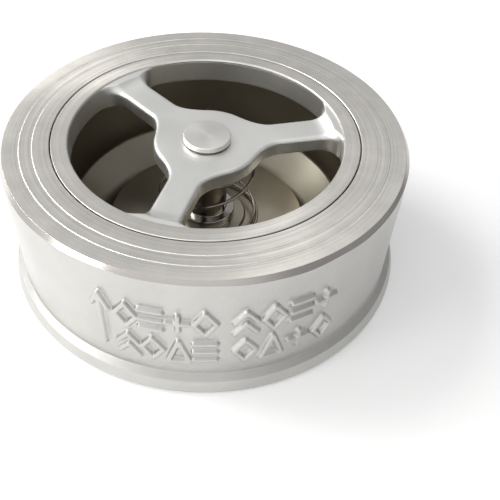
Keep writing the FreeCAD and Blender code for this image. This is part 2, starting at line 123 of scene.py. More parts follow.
def rounded_profile(corners, step=None, arc_steps=6):
    """Points along a closed outline of (radius, height, fillet, slot) corners, and each stretch's slot.

    The slot belongs to the stretch that starts at the corner. step splits straight stretches to that length.
    """
    count = len(corners)
    points, slots = [], []
    for i, (radius, height, fillet, slot) in enumerate(corners):
        here = np.array([radius, height])
        before = np.array(corners[i - 1][:2])
        after = np.array(corners[(i + 1) % count][:2])
        if fillet > 0:
            back, ahead = before - here, after - here
            back_length, ahead_length = np.linalg.norm(back), np.linalg.norm(ahead)
            back, ahead = back / back_length, ahead / ahead_length
            half = math.acos(np.clip(back @ ahead, -1, 1)) / 2
            reach = min(fillet / math.tan(half), 0.48 * back_length, 0.48 * ahead_length)
            true_radius = reach * math.tan(half)
            centre = here + (back + ahead) / np.linalg.norm(back + ahead) * (true_radius / math.sin(half))
            first, last = here + back * reach, here + ahead * reach
            a0 = math.atan2(*(first - centre)[::-1])
            sweep = (math.atan2(*(last - centre)[::-1]) - a0 + math.pi) % (2 * math.pi) - math.pi
            for k in range(arc_steps + 1):
                angle = a0 + sweep * k / arc_steps
                points.append(centre + true_radius * np.array([math.cos(angle), math.sin(angle)]))
                slots.append(corners[i - 1][3] if k < arc_steps / 2 else slot)
        else:
            points.append(here)
            slots.append(slot)
    if step is None:
        return np.array(points), slots
    fine, fine_slots = [], []
    for i, point in enumerate(points):
        after = points[(i + 1) % len(points)]
        parts = max(1, math.ceil(np.linalg.norm(after - point) / step))
        for k in range(parts):
            fine.append(point + (after - point) * k / parts)
            fine_slots.append(slots[i])
    return np.array(fine), fine_slots


def bends(profile, least=25.0):
    """Which points of a closed profile turn by more than that many degrees."""
    back = profile - np.roll(profile, 1, 0)
    ahead = np.roll(profile, -1, 0) - profile
    turn = np.arctan2(back[:, 0] * ahead[:, 1] - back[:, 1] * ahead[:, 0], (back * ahead).sum(1))
    return np.abs(turn) > math.radians(least)


def around(radius, height, angles):
    """Points at those radii and heights round the Z axis, one column of points per angle."""
    cosine, sine = np.cos(angles)[:, None], np.sin(angles)[:, None]
    return np.stack(np.broadcast_arrays(radius * cosine, radius * sine, height), -1).reshape(-1, 3)


def grid_faces(columns, rows, round_columns=True, round_rows=True):
    """Quads of a grid of points, column by column, which may close on itself either way."""
    faces = []
    for column in range(columns if round_columns else columns - 1):
        here, across = column * rows, (column + 1) % columns * rows
        for row in range(rows if round_rows else rows - 1):
            up = (row + 1) % rows
            faces.append((here + row, across + row, across + up, here + up))
    return faces


def lathe(name, profile, slots, body, materials, angles, shape=None):
    """A ring of revolution. shape(radius, height, angle) may move the points of each column."""
    rows, columns = len(profile), len(angles)
    radius = np.repeat(profile[:, 0][None, :], columns, 0)
    height = np.repeat(profile[:, 1][None, :], columns, 0)
    if shape is not None:
        angle = np.repeat(np.asarray(angles)[:, None], rows, 1)
        radius, height = shape(radius, height, angle)
    return mesh_object(name, around(radius, height, angles), grid_faces(columns, rows), body, materials,
                       face_slots=list(slots) * columns, sharp_rows=bends(profile))


def spindle(name, profile, slots, body, materials, angles):
    """A solid of revolution whose open profile starts and ends on the axis."""
    columns, rows = len(angles), len(profile) - 2
    poles = [(0, 0, profile[0, 1]), (0, 0, profile[-1, 1])]
    points = np.concatenate([around(profile[1:-1, 0][None, :], profile[1:-1, 1][None, :], angles), poles])
    bottom, top = columns * rows, columns * rows + 1
    faces = grid_faces(columns, rows, round_rows=False)
    face_slots = list(slots[1:rows]) * columns
    for column in range(columns):
        here, across = column * rows, (column + 1) % columns * rows
        faces += [(bottom, across, here), (here + rows - 1, across + rows - 1, top)]
        face_slots += [slots[0], slots[rows]]
    return mesh_object(name, points, faces, body, materials, face_slots, sharp_angle=25)


def even_angles(count):
    return np.linspace(0, 2 * math.pi, count, endpoint=False)


# ---------------------------------------------------------------- materials

def new_material(name):
    material = bpy.data.materials.new(name)
    material.use_nodes = True
    nodes = material.node_tree.nodes
    return material, nodes, material.node_tree.links, nodes["Principled BSDF"]


def noise(nodes, links, coordinates, scale, detail, roughness=0.5):
    texture = nodes.new("ShaderNodeTexNoise")
    texture.inputs["Scale"].default_value = scale
    texture.inputs["Detail"].default_value = detail
    texture.inputs["Roughness"].default_value = roughness
    links.new(coordinates, texture.inputs["Vector"])
    return texture


def ramp(nodes, links, value, low, high):
    """A colour ramp between two (position, colour) stops."""
    node = nodes.new("ShaderNodeValToRGB")
    for element, (position, colour) in zip(node.color_ramp.elements, (low, high)):
        element.position = position
        element.color = (*colour, 1)
    links.new(value, node.inputs["Fac"])
    return node


def remap(nodes, links, value, low, high, start=0.0, end=1.0):
    """Takes start..end of the value to low..high."""
    node = nodes.new("ShaderNodeMapRange")
    node.inputs["From Min"].default_value = start
    node.inputs["From Max"].default_value = end
    node.inputs["To Min"].default_value = low
    node.inputs["To Max"].default_value = high
    links.new(value, node.inputs["Value"])
    return node


def bump(nodes, links, height, distance, strength, normal=None):
    node = nodes.new("ShaderNodeBump")
    node.inputs["Distance"].default_value = distance
    node.inputs["Strength"].default_value = strength
    links.new(height, node.inputs["Height"])
    if normal is not None:
        links.new(normal, node.inputs["Normal"])
    return node


def blasted_steel(name, colour, roughness, grain=0.00006):
    """Bead-blasted stainless casting: fine peened grain over slow mottling."""
    material, nodes, links, shader = new_material(name)
    place = nodes.new("ShaderNodeTexCoord").outputs["Object"]
    mottle = noise(nodes, links, place, 90, 4)
    fine = noise(nodes, links, place, 2600, 3, 0.6)
    pits = noise(nodes, links, place, 700, 2)
    darker = tuple(c * 0.90 for c in colour)
    tone = ramp(nodes, links, mottle.outputs["Fac"], (0.3, darker), (0.7, colour))
    links.new(tone.outputs["Color"], shader.inputs["Base Color"])
    rough = remap(nodes, links, mottle.outputs["Fac"], roughness - 0.05, roughness + 0.07)
    links.new(rough.outputs["Result"], shader.inputs["Roughness"])
    coarse = bump(nodes, links, pits.outputs["Fac"], grain * 1.5, 0.35)
    peened = bump(nodes, links, fine.outputs["Fac"], grain, 0.5, coarse.outputs["Normal"])
    links.new(peened.outputs["Normal"], shader.inputs["Normal"])
    shader.inputs["Metallic"].default_value = 1.0
    return material


def turned_steel(name, colour, roughness, anisotropy, cut=0.000006, banding=0.12):
    """Lathe-turned stainless: concentric tool marks about the Z axis and streaked highlights.

    banding is how much one ring of tool marks differs from the next in tone.
    """
    material, nodes, links, shader = new_material(name)
    place = nodes.new("ShaderNodeTexCoord").outputs["Object"]
    split = nodes.new("ShaderNodeSeparateXYZ")
    links.new(place, split.inputs["Vector"])
    flat = nodes.new("ShaderNodeCombineXYZ")
    links.new(split.outputs["X"], flat.inputs["X"])
    links.new(split.outputs["Y"], flat.inputs["Y"])
    radius = nodes.new("ShaderNodeVectorMath")
    radius.operation = "LENGTH"
    links.new(flat.outputs["Vector"], radius.inputs[0])
    across = nodes.new("ShaderNodeCombineXYZ")
    links.new(radius.outputs["Value"], across.inputs["X"])
    links.new(split.outputs["Z"], across.inputs["Y"])
    fine = noise(nodes, links, across.outputs["Vector"], 9000, 4, 0.65)
    rings = noise(nodes, links, across.outputs["Vector"], 1900, 5, 0.7)
    blotch = noise(nodes, links, place, 160, 4, 0.6)
    tones = nodes.new("ShaderNodeMath")
    tones.operation = "MULTIPLY_ADD"
    tones.inputs[1].default_value = 0.6
    links.new(rings.outputs["Fac"], tones.inputs[0])
    share = remap(nodes, links, blotch.outputs["Fac"], 0.0, 0.4)
    links.new(share.outputs["Result"], tones.inputs[2])
    darker = tuple(c * (1 - banding) for c in colour)
    tone = ramp(nodes, links, tones.outputs["Value"], (0.35, darker), (0.65, colour))
    links.new(tone.outputs["Color"], shader.inputs["Base Color"])
    rough = remap(nodes, links, rings.outputs["Fac"], roughness - 0.08, roughness + 0.10)
    links.new(rough.outputs["Result"], shader.inputs["Roughness"])
    waves = bump(nodes, links, rings.outputs["Fac"], cut, 1.0)
    marks = bump(nodes, links, fine.outputs["Fac"], cut * 0.5, 1.0, waves.outputs["Normal"])
    links.new(marks.outputs["Normal"], shader.inputs["Normal"])
    tangent = nodes.new("ShaderNodeTangent")
    tangent.direction_type = "RADIAL"
    tangent.axis = "Z"
    links.new(tangent.outputs["Tangent"], shader.inputs["Tangent"])
    shader.inputs["Metallic"].default_value = 1.0
    shader.inputs["Anisotropic"].default_value = anisotropy
    return material


def drawn_wire(name, colour, roughness):
    """Bright spring wire with faint drawing marks."""
    material, nodes, links, shader = new_material(name)
    place = nodes.new("ShaderNodeTexCoord").outputs["Object"]
    scale = noise(nodes, links, place, 1500, 3)
    tone = ramp(nodes, links, scale.outputs["Fac"], (0.3, tuple(c * 0.8 for c in colour)), (0.7, colour))
    links.new(tone.outputs["Color"], shader.inputs["Base Color"])
    rough = remap(nodes, links, scale.outputs["Fac"], roughness - 0.04, roughness + 0.08)
    links.new(rough.outputs["Result"], shader.inputs["Roughness"])
    shader.inputs["Metallic"].default_value = 1.0
    return material


def floor_material():
    """White table top with a little painted glow, less to the right, and painted shade that darkens it far
    out on the right.
    """
    material, nodes, links, shader = new_material("floor_white")
    place = nodes.new("ShaderNodeTexCoord").outputs["Object"]
    soft = noise(nodes, links, place, 6, 2)
    tone = ramp(nodes, links, soft.outputs["Fac"], (0.3, (0.93, 0.93, 0.94)), (0.7, (0.96, 0.96, 0.96)))
    split = nodes.new("ShaderNodeSeparateXYZ")
    links.new(place, split.inputs["Vector"])
    # painted shade: the table's colour darkens far out on the right
    painted_shade_far_right = remap(nodes, links, split.outputs["X"], 1.0, 0.3, start=0.1, end=0.3)
    shade = nodes.new("ShaderNodeVectorMath")
    shade.operation = "SCALE"
    links.new(tone.outputs["Color"], shade.inputs[0])
    links.new(painted_shade_far_right.outputs["Result"], shade.inputs["Scale"])
    links.new(shade.outputs["Vector"], shader.inputs["Base Color"])
    # painted glow: the table gives off a little light, fading out to the right
    painted_glow = remap(nodes, links, split.outputs["X"], 0.32, 0.0, start=-0.05, end=0.10)
    links.new(painted_glow.outputs["Result"], shader.inputs["Emission Strength"])
    shader.inputs["Emission Color"].default_value = (1, 1, 1, 1)
    shader.inputs["Roughness"].default_value = 0.6
    shader.inputs["Specular IOR Level"].default_value = 0.2
    return material


CAST = blasted_steel("cast_steel_blasted", (0.56, 0.555, 0.535), 0.38, 0.00014)
# painted light: the spider is given a much lighter colour than the same blasted steel of the cast side,
# standing in for light falling on its upward faces
SPIDER_CAST_PAINTED_LIGHT = blasted_steel("spider_steel_blasted_painted_light", (0.84, 0.84, 0.82), 0.40, 0.00004)
# painted light: the turned face and spider rim are given a much lighter colour than the turned band,
# standing in for light on the top
TURNED_PAINTED_LIGHT = turned_steel("face_steel_turned_painted_light", (0.90, 0.875, 0.82), 0.28, 0.9, 0.000012, 0.26)
BAND = turned_steel("band_steel_turned", (0.60, 0.57, 0.54), 0.16, 0.5)
# painted shade: the chamber's bowl and the disc are given dark colours, standing in for the shade inside the
# chamber
BOWL_PAINTED_SHADE = turned_steel("bowl_steel_machined_painted_shade", (0.33, 0.305, 0.25), 0.34, 0.2, 0.000002, 0.08)
DISC_STEEL_PAINTED_SHADE = turned_steel("disc_steel_polished_painted_shade", (0.36, 0.33, 0.275), 0.32, 0.2, 0.0000012, 0.05)
# painted shade: the stem's shank, down in the chamber, is given a dark colour
STEM_STEEL_PAINTED_SHADE = turned_steel("stem_steel_ground_painted_shade", (0.36, 0.345, 0.32), 0.13, 0.2, 0.000002, 0.06)
# painted light: the stem's head, up above the spider, is given a light colour
HEAD_STEEL_PAINTED_LIGHT = turned_steel("head_steel_turned_painted_light", (0.90, 0.88, 0.845), 0.32, 0.5, 0.000006, 0.16)
FASTENER = blasted_steel("fastener_steel", (0.55, 0.54, 0.53), 0.28, 0.00002)
WIRE = drawn_wire("spring_wire_bright", (0.33, 0.31, 0.275), 0.15)


# ---------------------------------------------------------------- cast body

ARROW_AZIMUTH, ARROW_FOOT, ARROW_LENGTH, ARROW_HEAD = -112.8, 9.7, 14.3, 3.6
MARK_AZIMUTHS = (-105.6, -99.2, -92.4, -85.6, -75.4, -68.2, -60.8, -53.4)
MARK_WIDTH, MARK_HEIGHT = 4.2, 6.2
MARK_FEET = (17.3, 8.8)
MARK_RELIEF, STROKE_FLAT, STROKE_FLANK = 0.78, 0.32, 0.42
FINE_SECTOR, FINE_COLUMNS, COARSE_COLUMNS = (-117.5, -49.0), 300, 262     # the sector with the marks
# depth, waves round the side, phase, and how the phase climbs per millimetre of height
SIDE_WAVES = (
    (0.05, 5, 0.7, 0.0),
    (0.035, 11, 2.1, 0.0),
    (0.02, 23, 0.3, 0.0),
    (0.03, 3, 0.0, 0.35),
    (0.015, 17, 0.0, -0.8),
)
TRIANGLE = (((0, 0), (1, 0)), ((1, 0), (0.5, 1)), ((0.5, 1), (0, 0)))
DIAMOND = (((0.5, 0), (1, 0.5)), ((1, 0.5), (0.5, 1)), ((0.5, 1), (0, 0.5)), ((0, 0.5), (0.5, 0)))
CHEVRONS = (((0, 0), (0.5, 0.45)), ((0.5, 0.45), (1, 0)), ((0, 0.5), (0.5, 0.95)), ((0.5, 0.95), (1, 0.5)))
CROSS = (((0.5, 0.15), (0.5, 0.85)), ((0, 0.5), (1, 0.5)))
BARS = (((0, 0.1), (1, 0.1)), ((0, 0.5), (1, 0.5)), ((0, 0.9), (1, 0.9)))
MARK_ROWS = (
    (DIAMOND, BARS, CROSS, DIAMOND, CHEVRONS, DIAMOND, BARS, CROSS),
    (CHEVRONS, DIAMOND, TRIANGLE, BARS, DIAMOND, TRIANGLE, CROSS, DIAMOND),
)


def mark_strokes():
    """Every raised stroke as two ends (distance round the side from -Y, height), in millimetres."""
    to_arc = math.radians(1) * BAND_RADIUS
    arrow = (ARROW_AZIMUTH + 90) * to_arc
    tip = ARROW_FOOT + ARROW_LENGTH
    strokes = [((arrow, ARROW_FOOT), (arrow, tip))]
    for side in (-1, 1):
        strokes.append(((arrow + side * ARROW_HEAD / 2, tip - ARROW_HEAD), (arrow, tip)))
    for foot, signs in zip(MARK_FEET, MARK_ROWS):
        for azimuth, sign in zip(MARK_AZIMUTHS, signs):
            centre = (azimuth + 90) * to_arc
            for ends in sign:
                strokes.append([(centre + (x - 0.5) * MARK_WIDTH, foot + y * MARK_HEIGHT) for x, y in ends])
    return strokes


def stroke_relief(arc, height):
    """How far the cast marks stand out at points of the side."""
    nearest = np.full(arc.shape, 1e3)
    for (x0, z0), (x1, z1) in mark_strokes():
        dx, dz = x1 - x0, z1 - z0
        along = np.clip(((arc - x0) * dx + (height - z0) * dz) / (dx * dx + dz * dz), 0, 1)
        nearest = np.minimum(nearest, np.hypot(arc - x0 - along * dx, height - z0 - along * dz))
    fall = np.clip((nearest - STROKE_FLAT) / STROKE_FLANK, 0, 1)
    return MARK_RELIEF * (0.5 + 0.5 * np.cos(math.pi * fall))


def slow_waves(angle, height):
    """Unevenness of the as-cast side, a few hundredths of a millimetre."""
    waves = 0.0
    for depth, turns, phase, climb in SIDE_WAVES:
        waves = waves + depth * np.sin(turns * angle + phase + climb * height)
    return waves


def casting_shape(radius, height, angle):
    """Adds the marks and the unevenness to the cast side, and lets the turned band meet it."""
    side = (height > WAIST_HEIGHT) & (height < FACE - BAND_DROP + 0.01) & (radius > OUTLET_FACE_RADIUS)
    arc = ((angle + math.pi / 2 + math.pi) % (2 * math.pi) - math.pi) * BAND_RADIUS
    relief = np.where(side, stroke_relief(arc, height), 0)
    cast_top = FACE - BAND_DROP
    fade = np.clip((height - WAIST_HEIGHT) / 2, 0, 1)
    uneven = np.where(side, slow_waves(angle, height) * fade, 0)
    at_band = side & (np.abs(height - cast_top) < 0.01)
    slope = BAND_DROP / (BAND_RADIUS - OUTLET_FACE_RADIUS)
    height = np.where(at_band, height - uneven * slope, height)
    return radius + relief + uneven, height


def casting_angles():
    """Columns round the casting, close together where the marks are."""
    low, high = np.radians(FINE_SECTOR)
    fine = np.linspace(low, high, FINE_COLUMNS)
    coarse = np.linspace(high, low + 2 * math.pi, COARSE_COLUMNS)[1:-1]
    return np.concatenate([fine, coarse])


def build_casting():
    cast, turned, band, bowl = 0, 1, 2, 3
    top = FACE
    grooves = []
    for centre in GROOVE_RADII:
        grooves += [
            (centre + GROOVE_WIDTH / 2, top, GROOVE_ROUND, turned),
            (centre, top - GROOVE_DEPTH, GROOVE_ROUND, turned),
            (centre - GROOVE_WIDTH / 2, top, GROOVE_ROUND, turned),
        ]
    side_corners = [
        (INLET_RADIUS, 0, 0.4, turned),
        (FOOT_RADIUS - FOOT_CHAMFER, 0, 0.25, cast),
        (FOOT_RADIUS, FOOT_HEIGHT, 0.6, cast),
        (BEAD_RADIUS + 0.1, BEAD_HEIGHT - 0.1, 0.5, cast),
        (WAIST_RADIUS, WAIST_HEIGHT, 0.25, cast),
        (BAND_RADIUS, top - BAND_DROP, 0, band),
        (OUTLET_FACE_RADIUS, top, 0.06, turned),
        *grooves,
        (COUNTERBORE_RADIUS + EDGE_BREAK, top, EDGE_ROUND, turned),
        (COUNTERBORE_RADIUS, top - EDGE_BREAK, EDGE_ROUND, turned),
        (COUNTERBORE_RADIUS, SPIDER_BASE, 0, turned),
        # the chamber wall, bowl and seat take the painted-shade colour
        (CHAMBER_RADIUS, SPIDER_BASE, 0.3, bowl),
        (CHAMBER_RADIUS, BOWL_TOP, 1.2, bowl),
        (BOWL_FOOT, CHAMBER_FLOOR, 1.5, bowl),
        (SEAT_RADIUS, CHAMBER_FLOOR, 0.1, bowl),
        (SEAT_RADIUS, SEAT_HEIGHT, 0.15, bowl),
        (INLET_RADIUS, SEAT_HEIGHT, 0.3, turned),
    ]
    profile, slots = rounded_profile(side_corners, step=0.22, arc_steps=8)
    keep = thin_out(profile, slots)
    piece = lathe("valve_casting", profile[keep], [slots[i] for i in keep], BODY,
                  [CAST, TURNED_PAINTED_LIGHT, BAND, BOWL_PAINTED_SHADE], casting_angles(), casting_shape)
    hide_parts("valve_body")


def thin_out(profile, slots):
    """Keeps the fine rows only on the cast side, where the marks need them."""
    keep = [0]
    for i in range(1, len(profile)):
        on_side = profile[i, 0] > OUTLET_FACE_RADIUS - 0.01 and WAIST_HEIGHT < profile[i, 1] < FACE
        last = profile[keep[-1]]
        after = profile[(i + 1) % len(profile)]
        back, ahead = profile[i] - last, after - profile[i]
        lengths = np.linalg.norm(back) * np.linalg.norm(ahead) + 1e-12
        bend = abs(back[0] * ahead[1] - back[1] * ahead[0]) / lengths
        if on_side or bend > 1e-3 or slots[i] != slots[i - 1]:
            keep.append(i)
    return keep


# ---------------------------------------------------------------- guide spider

ARM_AZIMUTH, ARM_COUNT = 16.0, 3
WINDOW_RADIUS, ARM_WIDTH, HUB_RADIUS = 28.8, 6.8, 11.4
ARM_TOP, HUB_BLEND, RIM_BLEND, ARM_ROUNDING = FACE - 1.8, 4.0, 5.0, 0.8
BOSS_RADIUS, BOSS_BASE = 10.2, spider_low[2]
BORE_RADIUS = 4.48
RIM_STEP = 0.32            # the rough casting stops this far below the turned rim's face
CASTING_INSET = 0.4        # and this far inside its outer radius
RIM_CLEARANCE, RIM_LAP = 0.08, 0.25
VOXEL = 0.24


def round_join(a, b, radius):
    """Union of two distance fields with a fillet of that radius."""
    blend = np.hypot(np.maximum(radius - a, 0), np.maximum(radius - b, 0))
    return np.maximum(radius, np.minimum(a, b)) - blend


def slab(plan, height, low, high, rounding):
    """A plan distance field between two heights, with rounded edges."""
    side = plan + rounding
    level = np.abs(height - (low + high) / 2) - (high - low) / 2 + rounding
    outside = np.hypot(np.maximum(side, 0), np.maximum(level, 0))
    return np.minimum(np.maximum(side, level), 0) + outside - rounding


def spider_field(x, y, z):
    """Distance field of the spider's casting."""
    radius = np.hypot(x, y)
    angle = np.arctan2(y, x) - math.radians(ARM_AZIMUTH)
    sector = 2 * math.pi / ARM_COUNT
    folded = (angle + sector / 2) % sector - sector / 2
    arms = np.abs(radius * np.sin(folded)) - ARM_WIDTH / 2
    plan = round_join(radius - HUB_RADIUS, arms, HUB_BLEND)
    plate = slab(plan, z, SPIDER_BASE, ARM_TOP, ARM_ROUNDING)
    wall = slab(WINDOW_RADIUS - radius, z, SPIDER_BASE, FACE + 1, 0.25)
    whole = round_join(plate, wall, RIM_BLEND)
    whole = np.maximum(whole, np.maximum(SPIDER_BASE - z, z - FACE + RIM_STEP))
    whole = np.maximum(whole, radius - SPIDER_RADIUS + CASTING_INSET)
    boss = slab(radius - BOSS_RADIUS, z, BOSS_BASE, ARM_TOP - 1.5, 0.3)
    return np.maximum(np.minimum(whole, boss), BORE_RADIUS - radius)


def surface_net(field, low, high, step):
    """Points and quads of a distance field's zero surface inside a box."""
    axes = [np.arange(a - step, b + 2 * step, step) for a, b in zip(low, high)]
    x, y, z = np.meshgrid(*axes, indexing="ij", sparse=True)
    values = field(x, y, z).astype(np.float32)
    inside = values < 0
    shape = np.array(values.shape) - 1
    total = np.zeros((*shape, 3), np.float32)
    count = np.zeros(shape, np.int32)
    corners = [(i, j, k) for i in (0, 1) for j in (0, 1) for k in (0, 1)]

    def corner(array, offset):
        i, j, k = offset
        return array[i:i + shape[0], j:j + shape[1], k:k + shape[2]]

    for start in corners:
        for axis in range(3):
            if start[axis]:
                continue
            end = tuple(1 if n == axis else start[n] for n in range(3))
            a, b = corner(values, start), corner(values, end)
            crossing = corner(inside, start) != corner(inside, end)
            share = np.where(crossing, a / np.where(crossing, a - b, 1), 0)
            for n in range(3):
                total[..., n] += np.where(crossing, start[n] + (share if n == axis else 0), 0)
            count += crossing
    used = count > 0
    index = np.full(shape, -1)
    index[used] = np.arange(used.sum())
    cells = np.argwhere(used)
    origin = np.array([axis[0] for axis in axes])
    points = origin + (cells + total[used] / count[used][:, None]) * step
    quads = []
    for axis in range(3):
        one, two = [n for n in range(3) if n != axis]
        low_side = [slice(1, s) for s in shape]
        low_side[axis] = slice(0, shape[axis])
        high_side = list(low_side)
        high_side[axis] = slice(1, shape[axis] + 1)
        first, second = inside[tuple(low_side)], inside[tuple(high_side)]
        edges = np.argwhere(first != second)
        outwards = first[tuple(edges.T)]
        base = edges + 1
        base[:, axis] = edges[:, axis]
        ring = []
        for back_one, back_two in ((1, 1), (0, 1), (0, 0), (1, 0)):
            cell = base.copy()
            cell[:, one] -= back_one
            cell[:, two] -= back_two
            ring.append(index[tuple(cell.T)])
        quad = np.stack(ring, 1)
        flip = outwards if axis != 1 else ~outwards
        quad[~flip] = quad[~flip][:, ::-1]
        quads.append(quad)
    return points, np.concatenate(quads)


def build_spider():
    low = (-SPIDER_RADIUS, -SPIDER_RADIUS, BOSS_BASE)
    high = (SPIDER_RADIUS, SPIDER_RADIUS, FACE)
    points, quads = surface_net(spider_field, low, high, VOXEL)
    casting = mesh_object("spider_casting", points, quads, BODY, [SPIDER_CAST_PAINTED_LIGHT])
    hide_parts("guide_spider")
    top = FACE
    outside, lap = SPIDER_RADIUS - RIM_CLEARANCE, WINDOW_RADIUS + RIM_LAP
    rim, _ = rounded_profile([
        (lap, SPIDER_BASE + 0.05, 0, 0),
        (outside, SPIDER_BASE + 0.05, 0.1, 0),
        (outside, top - EDGE_BREAK, EDGE_ROUND, 0),
        (outside - EDGE_BREAK, top, EDGE_ROUND, 0),
        (lap, top, 0.12, 0),
        (WINDOW_RADIUS, top - 0.3, 0.1, 0),
        (WINDOW_RADIUS, top - 0.55, 0.05, 0),
        (lap, top - 0.7, 0, 0),
    ], arc_steps=5)
    ring = lathe("spider_rim", rim, [0] * len(rim), BODY, [TURNED_PAINTED_LIGHT], even_angles(360))


# ---------------------------------------------------------------- stem, disc, fasteners, spring

STEM_RADIUS, HEAD_RADIUS = 4.4, 5.1
HEAD_TOP, HEAD_BASE = stem_high[2], ARM_TOP + 0.3
COLLAR_RADIUS, COLLAR_HEIGHT = 6.3, 2.0
THREAD_RADIUS, THREAD_PITCH, THREAD_DEPTH = 3.0, 1.0, 0.55
THREAD_LEAD, THREAD_RUNOUT = 0.6, 0.5
DISC_RADIUS, DISC_EDGE, DISC_CROWN = 22.2, 3.2, 0.3
DISC_BOSS_RADIUS, DISC_BOSS_HEIGHT = 8.7, 0.7
RECESS_RADIUS, RECESS_DEPTH = 9.0, 1.9
BOSS_TOP = disc_high[2]
THREAD_HOLE = 3.06
LOCK_WASHER_GAP = 0.8
NUT_CHAMFER, NUT_CHAMFER_SLOPE, NUT_COUNTERSINK = 0.15, math.radians(30), (0.4, 0.45)


def build_stem():
    ground, head = 0, 1
    # the shank takes the painted-shade colour, the head the painted-light one
    profile, slots = rounded_profile([
        (0, BOSS_TOP, 0, ground),
        (COLLAR_RADIUS, BOSS_TOP, 0.1, ground),
        (COLLAR_RADIUS, BOSS_TOP + COLLAR_HEIGHT, 0.35, ground),
        (STEM_RADIUS, BOSS_TOP + COLLAR_HEIGHT, 0.3, ground),
        (STEM_RADIUS, HEAD_BASE, 0, head),
        (HEAD_RADIUS, HEAD_BASE, 0.1, head),
        (HEAD_RADIUS, HEAD_TOP, 0.3, head),
        (0, HEAD_TOP, 0, head),
    ], arc_steps=6)
    piece = spindle("stem_pin", profile, slots, CLOSURE, [STEM_STEEL_PAINTED_SHADE, HEAD_STEEL_PAINTED_LIGHT], even_angles(128))
    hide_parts("stem")
    build_thread()


def build_thread():
    """The stem's threaded end as one helical surface with a chamfered lead."""
    low, high = stem_low[2], BOSS_TOP
    rows, columns = 160, 48
    height = np.linspace(low, high, rows)
    angle = even_angles(columns)
    turn = (height[None, :] / THREAD_PITCH - angle[:, None] / (2 * math.pi)) % 1
    cut = THREAD_DEPTH * (1 - np.abs(2 * turn - 1)) ** 1.3
    lead = THREAD_LEAD * (1 - np.clip((height - low) / THREAD_LEAD, 0, 1)[None, :])
    runout = np.clip((high - height) / THREAD_RUNOUT, 0, 1)
    radius = THREAD_RADIUS - np.maximum(cut * runout, lead)
    points = around(radius, height[None, :], angle)
    faces = grid_faces(columns, rows, round_rows=False)
    faces.append([column * rows for column in reversed(range(columns))])
    faces.append([column * rows + rows - 1 for column in range(columns)])
    piece = mesh_object("stem_thread", points, faces, CLOSURE, [FASTENER], sharp_angle=50)


def build_disc():
    base = disc_low[2]
    crown = base + DISC_EDGE + DISC_CROWN
    profile, slots = rounded_profile([
        (THREAD_HOLE, base + RECESS_DEPTH, 0, 0),
        (RECESS_RADIUS, base + RECESS_DEPTH, 0.4, 0),
        (RECESS_RADIUS, base, 0.2, 0),
        (DISC_RADIUS, base, 0.25, 0),
        (DISC_RADIUS, base + DISC_EDGE, 0.3, 0),
        (DISC_BOSS_RADIUS, crown, 0.5, 0),
        (DISC_BOSS_RADIUS, BOSS_TOP, 0.35, 0),
        (THREAD_HOLE, BOSS_TOP, 0, 0),
    ], arc_steps=6)
    piece = lathe("closing_disc", profile, slots, CLOSURE, [DISC_STEEL_PAINTED_SHADE], even_angles(240))
    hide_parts("disc")


def build_washer():
    low, high = washer_low[2], washer_high[2]
    outer = washer_high[0]
    profile, slots = rounded_profile([
        (THREAD_HOLE, low, 0.08, 0),
        (outer, low, 0.2, 0),
        (outer, high, 0.08, 0),
        (THREAD_HOLE, high, 0.08, 0),
    ])
    piece = lathe("plain_washer", profile, slots, CLOSURE, [FASTENER], even_angles(96))
    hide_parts("disc_washer")


def build_lock_washer():
    """A split ring whose two ends stand a little apart."""
    low, high = lock_washer_low[2], lock_washer_high[2]
    inner, outer = THREAD_HOLE, lock_washer_high[1]
    section, _ = rounded_profile([
        (inner, low, 0.1, 0),
        (outer, low, 0.15, 0),
        (outer, high, 0.15, 0),
        (inner, high, 0.1, 0),
    ], arc_steps=4)
    rows, columns = len(section), 97
    half_gap = LOCK_WASHER_GAP / 2 / outer
    angle = np.linspace(half_gap, 2 * math.pi - half_gap, columns)
    points = around(section[:, 0][None, :], section[:, 1][None, :], angle)
    faces = grid_faces(columns, rows, round_columns=False)
    faces.append(list(range(rows)))
    faces.append([(columns - 1) * rows + row for row in reversed(range(rows))])
    piece = mesh_object("split_lock_washer", points, faces, CLOSURE, [FASTENER], sharp_angle=40)
    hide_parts("lock_washer")


def build_nut():
    """A thin hexagon nut with turned corner chamfers on both faces."""
    low, high = nut_low[2], nut_high[2]
    flat, corner = nut_high[1], nut_high[0]
    columns = 144
    angle = even_angles(columns)
    across = flat / np.cos((angle + math.pi / 6) % (math.pi / 3) - math.pi / 6)
    chamfer_start = flat - NUT_CHAMFER
    rise = np.maximum(across - chamfer_start, 0) * math.tan(NUT_CHAMFER_SLOPE)
    even = np.ones(columns)
    sink_width, sink_depth = NUT_COUNTERSINK
    rings = [
        (THREAD_HOLE * even, (low + sink_depth) * even),
        ((THREAD_HOLE + sink_width) * even, low * even),
        (chamfer_start * even, low * even),
        (across, low + rise),
        (across, high - rise),
        (chamfer_start * even, high * even),
        (THREAD_HOLE * even, high * even),
    ]
    radius = np.stack([ring[0] for ring in rings], 1)
    height = np.stack([ring[1] for ring in rings], 1)
    points, faces = around(radius, height, angle), grid_faces(columns, len(rings))
    piece = mesh_object("thin_hex_nut", points, faces, CLOSURE, [FASTENER], sharp_angle=20)
    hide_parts("disc_nut")


WIRE_RADIUS, SPRING_GAP = 0.35, 0.05
SPRING_LOW, SPRING_HIGH = BOSS_TOP - DISC_BOSS_HEIGHT + SPRING_GAP, BOSS_BASE - SPRING_GAP
SPRING_WIDE, SPRING_NARROW = 11.6, 9.4
SPRING_TURNS, SPRING_LEAD = 1.36, 0.99     # working turns, and the closed turns at each end
SPRING_EASE, CLOSED_PITCH = 0.35, 1.02
SPRING_PHASE = math.radians(321)


